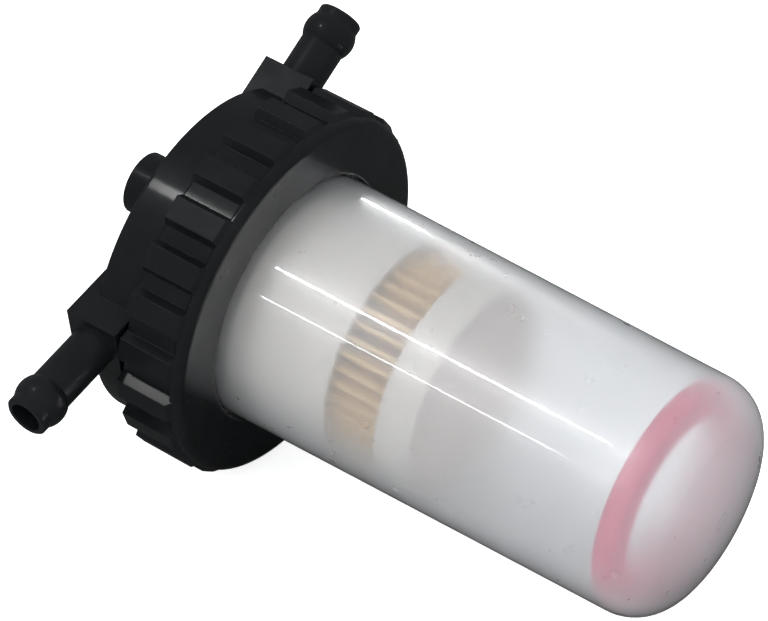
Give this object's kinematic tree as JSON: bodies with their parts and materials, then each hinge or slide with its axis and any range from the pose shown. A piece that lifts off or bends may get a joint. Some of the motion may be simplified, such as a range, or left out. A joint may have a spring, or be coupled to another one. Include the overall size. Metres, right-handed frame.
{
  "type": "fuel filter",
  "caption": "Fuel filter with a translucent hanging bowl, a ribbed screw ring, hose nipples on a mounting head, a pleated element and a loose float ring.",
  "frame": {"origin": "midway between the mounting bosses, in the plane of their faces", "axes": "+Z along the bowl's axis, up out of the boss faces; -Y towards the side that the nipples are swept to; +X towards the outlet"},
  "size_m": [0.1029, 0.0754, 0.1284],
  "materials": {
    "black_nylon": "semi-gloss moulded black nylon",
    "bowl_plastic": "translucent natural nylon with a polished outside",
    "brass": "turned brass",
    "seal_rubber": "black nitrile rubber",
    "float_plastic": "red moulded plastic",
    "cap_plastic": "warm white moulded plastic",
    "filter_paper": "resin-treated pleated paper",
    "potting": "cured cream resin"
  },
  "bodies": {
    "head": {"filter_head": "black_nylon", "mount_inserts": "brass"},
    "bowl": {"bowl": "bowl_plastic", "bowl_seal": "seal_rubber"},
    "ring": {"retaining_ring": "black_nylon"},
    "float": {"float_ring": "float_plastic"},
    "element": {"element_top_cap": "cap_plastic", "collar_seal": "seal_rubber", "element_bottom_cap": "cap_plastic", "top_potting": "potting", "bottom_potting": "potting", "pleated_paper": "filter_paper", "element_core": "cap_plastic"}
  },
  "joints": [
    {"name": "bowl_drop", "type": "slide", "parent": "head", "child": "bowl", "axis": [0, 0, -1], "range_m": [0, 0.0075]},
    {"name": "ring_turn", "type": "hinge", "parent": "bowl", "child": "ring", "pos_m": [0, 0, -0.0261], "axis": [0, 0, -1], "range_deg": [0, 900]},
    {"name": "float_rise", "type": "slide", "parent": "bowl", "child": "float", "axis": [0, 0, 1], "range_m": [0, 0.0335]},
    {"name": "element_pull", "type": "slide", "parent": "head", "child": "element", "axis": [0, 0, -1], "range_m": [0, 0.006]}
  ],
  "couplings": [
    {"joint": "ring_turn", "follows": "bowl_drop", "rad_per_m": 2094.4}
  ]
}
